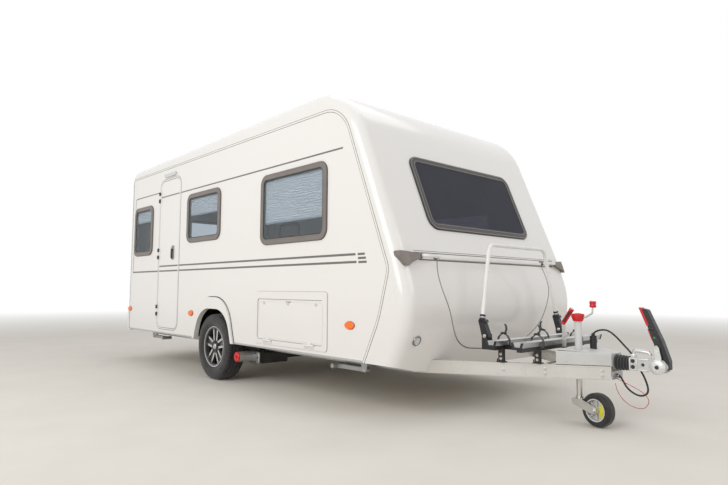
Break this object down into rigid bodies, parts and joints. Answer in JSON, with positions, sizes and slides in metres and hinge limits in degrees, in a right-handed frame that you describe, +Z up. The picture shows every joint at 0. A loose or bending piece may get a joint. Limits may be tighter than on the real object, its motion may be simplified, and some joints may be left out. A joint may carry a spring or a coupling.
{
  "type": "travel caravan",
  "caption": "Single-axle touring caravan with sloping front, hinged entrance door, side hatch, jockey wheel, folding corner steadies and bicycle rack on the drawbar.",
  "frame": {"origin": "centre of the caravan's footprint on the ground, halfway between the coupling's tip and the rear bumper", "axes": "+X forward to the coupling, +Y to the left, +Z up"},
  "size_m": [6.48, 2.364, 2.6113],
  "materials": {
    "body_panel": "white coated sandwich board with a timber and foam core",
    "moulding": "glossy white moulding",
    "frame_plastic": "grey brown moulding",
    "tinted_pane": "tinted acrylic",
    "steel": "galvanised",
    "alloy": "machined and painted",
    "tyre": "black rubber",
    "rubber": "black rubber",
    "dark_plastic": "black plastic",
    "grey_plastic": "light grey plastic",
    "red_plastic": "red plastic",
    "orange_lens": "orange lens",
    "red_lens": "red lens",
    "clear_lens": "clear lens",
    "cast": "zinc plated casting",
    "white_tube": "white powder coat",
    "furniture": "laminated board",
    "cushion": "woven cover"
  },
  "bodies": {
    "caravan": {"side_wall_right": "body_panel", "side_wall_left": "body_panel", "front_panel_upper": "moulding", "front_panel_lower": "moulding", "front_locker_lid": "moulding", "rear_panel": "body_panel", "roof": "body_panel", "roof_lights": "clear_lens", "window_frames": "frame_plastic", "window_panes": "tinted_pane", "floor": "furniture", "wheel_boxes": "dark_plastic", "wheel_arch_trims": "moulding", "wall_hinges": "alloy", "service_hatch_frame": "moulding", "front_trim_bar": "moulding", "grab_handles": "clear_lens", "marker_lamp_housings": "frame_plastic", "side_lamps": "orange_lens", "clear_lamps": "clear_lens", "rear_bumper": "moulding", "rear_lamps": "red_lens", "chassis_rails": "steel", "drawbar_beams": "steel", "drawbar_end_plate": "steel", "cross_members": "steel", "axle": "steel", "drawbar_cover": "grey_plastic", "overrun_housing": "steel", "bellows": "rubber", "coupling_head": "cast", "stabiliser_lever": "dark_plastic", "handbrake_lever": "dark_plastic", "jockey_outer_tube": "steel", "jockey_crank": "red_plastic", "steady_brackets": "steel", "mover": "dark_plastic", "rack_base": "steel", "rack_channels": "dark_plastic", "road_plug": "dark_plastic", "road_cable": "rubber", "breakaway_cable": "red_plastic", "interior_units": "furniture", "interior_cushions": "cushion"},
    "wheel_right": {"tyre_right": "tyre", "rim_right": "alloy"},
    "wheel_left": {"tyre_left": "tyre", "rim_left": "alloy"},
    "entrance_door": {"door_leaf": "body_panel", "door_handle": "frame_plastic"},
    "hatch_flap": {"service_hatch": "body_panel"},
    "jockey_stem": {"jockey_inner_tube": "steel"},
    "jockey_caster": {"jockey_fork": "steel"},
    "jockey_wheel": {"jockey_tyre": "rubber", "jockey_rim": "grey_plastic"},
    "bicycle_hoop": {"rack_hoop": "white_tube"},
    "steady_front_right": {"steady_front_right": "steel"},
    "steady_front_left": {"steady_front_left": "steel"},
    "steady_rear_right": {"steady_rear_right": "steel"},
    "steady_rear_left": {"steady_rear_left": "steel"}
  },
  "joints": [
    {"name": "wheel_right_spin", "type": "hinge", "parent": "caravan", "child": "wheel_right", "pos_m": [-0.77, -1.06, 0.334], "axis": [0, 1, 0], "continuous": true},
    {"name": "wheel_left_spin", "type": "hinge", "parent": "caravan", "child": "wheel_left", "pos_m": [-0.77, 1.06, 0.334], "axis": [0, 1, 0], "continuous": true},
    {"name": "entrance_door_hinge", "type": "hinge", "parent": "caravan", "child": "entrance_door", "pos_m": [-2.199, -1.173, 1.353], "axis": [0, 0, -1], "range_deg": [0, 165]},
    {"name": "service_hatch_hinge", "type": "hinge", "parent": "caravan", "child": "hatch_flap", "pos_m": [0.5765, -1.173, 0.471], "axis": [1, 0, 0], "range_deg": [0, 95]},
    {"name": "jockey_slide", "type": "slide", "parent": "caravan", "child": "jockey_stem", "axis": [0, 0, 1], "range_m": [-0.1, 0.075]},
    {"name": "jockey_swivel", "type": "hinge", "parent": "jockey_stem", "child": "jockey_caster", "pos_m": [2.665, -0.105, 0.165], "axis": [0, 0, 1], "continuous": true},
    {"name": "jockey_wheel_spin", "type": "hinge", "parent": "jockey_caster", "child": "jockey_wheel", "pos_m": [2.81144, -0.13747, 0.115], "axis": [0.2164, 0.9763, 0], "continuous": true},
    {"name": "steady_front_right_fold", "type": "hinge", "parent": "caravan", "child": "steady_front_right", "pos_m": [1.27, -0.885, 0.292], "axis": [0, -1, 0], "range_deg": [0, 48]},
    {"name": "steady_front_left_fold", "type": "hinge", "parent": "caravan", "child": "steady_front_left", "pos_m": [1.27, 0.885, 0.292], "axis": [0, -1, 0], "range_deg": [0, 48]},
    {"name": "steady_rear_right_fold", "type": "hinge", "parent": "caravan", "child": "steady_rear_right", "pos_m": [-2.88, -0.885, 0.292], "axis": [0, 1, 0], "range_deg": [0, 48]},
    {"name": "steady_rear_left_fold", "type": "hinge", "parent": "caravan", "child": "steady_rear_left", "pos_m": [-2.88, 0.885, 0.292], "axis": [0, 1, 0], "range_deg": [0, 48]},
    {"name": "bicycle_hoop_tilt", "type": "hinge", "parent": "caravan", "child": "bicycle_hoop", "pos_m": [2.184, 0, 0.6], "axis": [0, 1, 0], "range_deg": [0, 45]}
  ]
}
